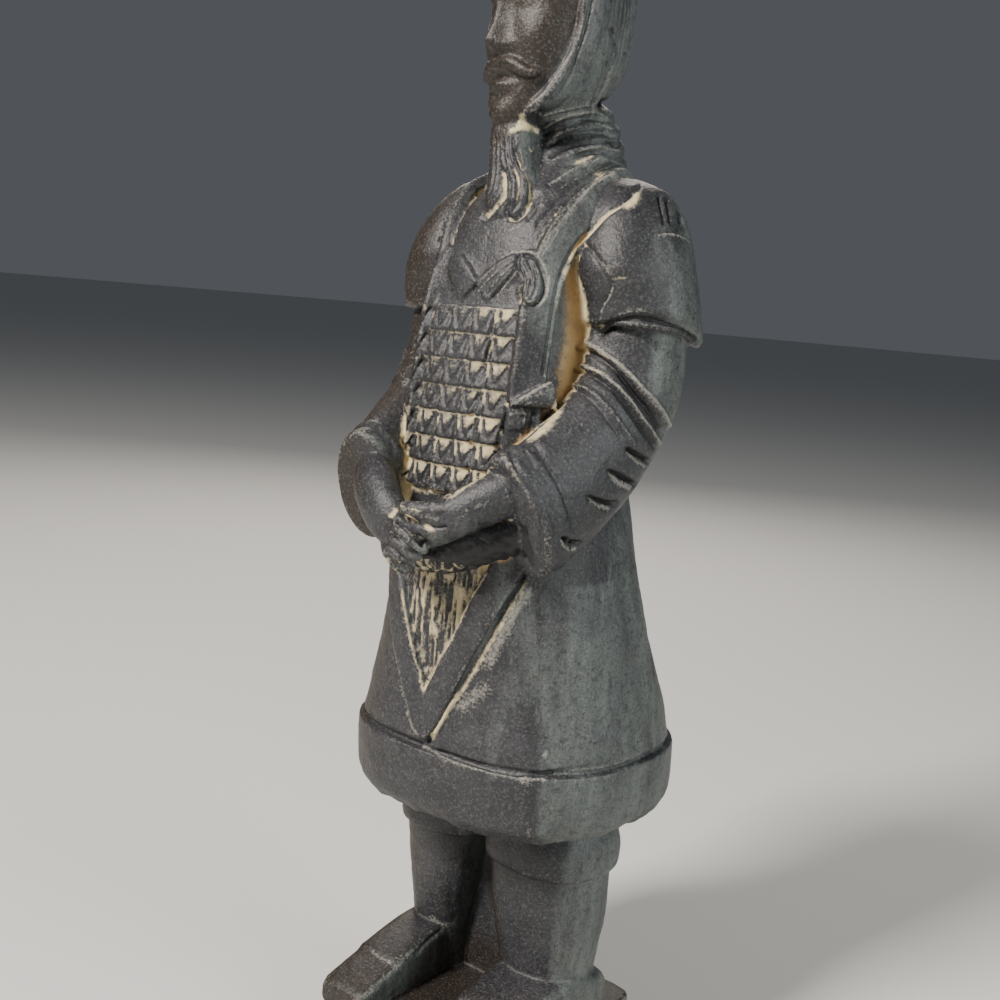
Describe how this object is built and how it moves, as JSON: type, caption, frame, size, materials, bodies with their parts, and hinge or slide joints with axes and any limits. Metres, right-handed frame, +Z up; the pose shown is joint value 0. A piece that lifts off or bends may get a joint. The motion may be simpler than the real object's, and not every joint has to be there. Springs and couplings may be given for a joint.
{
  "type": "terracotta warrior statue",
  "caption": "Standing armoured warrior officer with clasped hands, moulded in dark fired clay in one piece with its low square plinth.",
  "frame": {"origin": "on the ground, under the middle of the plinth", "axes": "+Z up, the figure faces -Y, its left hand is towards +X"},
  "size_m": [0.0756, 0.0834, 0.2788],
  "materials": {
    "fired_clay": "dark slate grey fired clay, matt with a slight sheen, ochre clay dust left in the recesses"
  },
  "bodies": {
    "root": {"statue": "fired_clay"}
  },
  "joints": []
}
